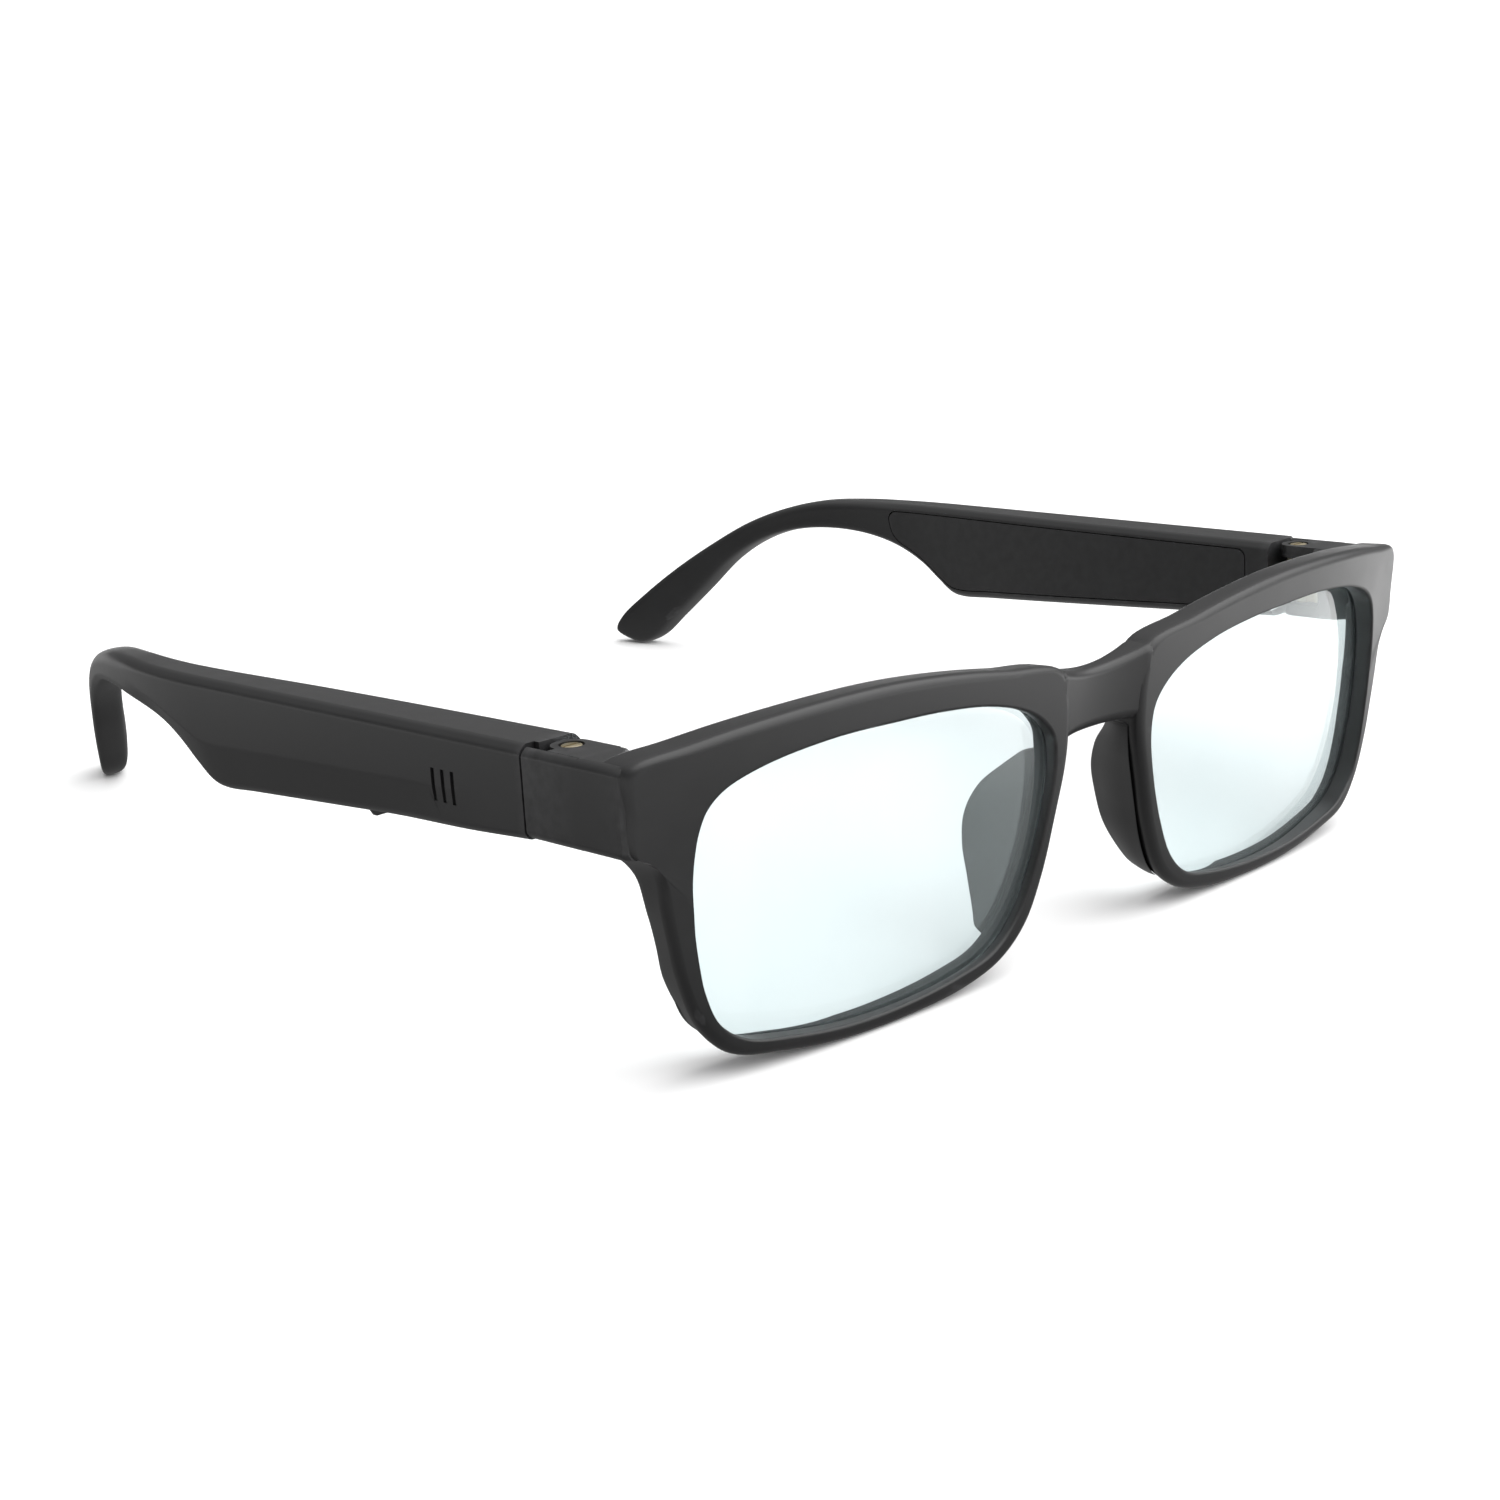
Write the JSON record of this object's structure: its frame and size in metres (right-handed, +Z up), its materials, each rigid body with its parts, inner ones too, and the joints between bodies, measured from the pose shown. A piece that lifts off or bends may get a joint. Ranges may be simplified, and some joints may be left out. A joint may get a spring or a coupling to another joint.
{
  "type": "smart glasses",
  "caption": "Full-rim audio glasses with clear lenses; deep box temples hold the electronics and fold on brass hinges, with a press key under one temple.",
  "frame": {"origin": "on the floor, midway across the glasses and midway along their depth", "axes": "+X towards the wearer's left, +Y back along the open temples, +Z up; the glasses stand on the rims and the temple tips"},
  "size_m": [0.1456, 0.1434, 0.0405],
  "materials": {
    "frame_plastic": "satin black moulded nylon with a fine spark texture",
    "cover_plastic": "satin black moulded plastic",
    "pad_rubber": "smooth black silicone",
    "lens_clear": "clear lens with a faint cool coating",
    "hinge_brass": "pale brushed brass",
    "contact_gold": "gold plate",
    "steel_can": "pressed steel",
    "board_green": "solder-masked board",
    "chip_black": "moulded chip",
    "battery_foil": "pouch foil",
    "mesh_cloth": "woven speaker mesh"
  },
  "bodies": {
    "front": {"front_frame": "frame_plastic", "lens_left": "lens_clear", "lens_right": "lens_clear", "nose_pad_left": "pad_rubber", "nose_pad_right": "pad_rubber", "hinge_front_leaf_left": "hinge_brass", "hinge_front_leaf_right": "hinge_brass", "hinge_pin_left": "hinge_brass", "hinge_pin_right": "hinge_brass"},
    "temple_left": {"temple_shell_left": "frame_plastic", "temple_cover_left": "cover_plastic", "hinge_rear_leaf_left": "hinge_brass", "touch_sensor_left": "contact_gold", "circuit_board_left": "board_green", "bluetooth_chip_left": "chip_black", "battery_left": "battery_foil", "speaker_left": "steel_can", "speaker_mesh_left": "mesh_cloth", "microphone_left": "steel_can", "charge_contact_front_left": "contact_gold", "charge_contact_rear_left": "contact_gold"},
    "temple_right": {"temple_shell_right": "frame_plastic", "temple_cover_right": "cover_plastic", "hinge_rear_leaf_right": "hinge_brass", "touch_sensor_right": "contact_gold", "circuit_board_right": "board_green", "bluetooth_chip_right": "chip_black", "battery_right": "battery_foil", "speaker_right": "steel_can", "speaker_mesh_right": "mesh_cloth", "microphone_right": "steel_can", "charge_contact_front_right": "contact_gold", "charge_contact_rear_right": "contact_gold", "button_switch_right": "steel_can"},
    "power_button": {"power_button_right": "cover_plastic"}
  },
  "joints": [
    {"name": "temple_left_fold", "type": "hinge", "parent": "front", "child": "temple_left", "pos_m": [0.0676, -0.05327, 0.03114], "axis": [0, 0.0905, 0.9959], "range_deg": [0, 85]},
    {"name": "temple_right_fold", "type": "hinge", "parent": "front", "child": "temple_right", "pos_m": [-0.0676, -0.05327, 0.03114], "axis": [0, -0.0905, -0.9959], "range_deg": [0, 70]},
    {"name": "power_button_press", "type": "slide", "parent": "temple_right", "child": "power_button", "axis": [0, 0.0905, 0.9959], "range_m": [0, 0.0005], "stiffness_N_per_m": 1500, "springref_m": -0.0002}
  ]
}
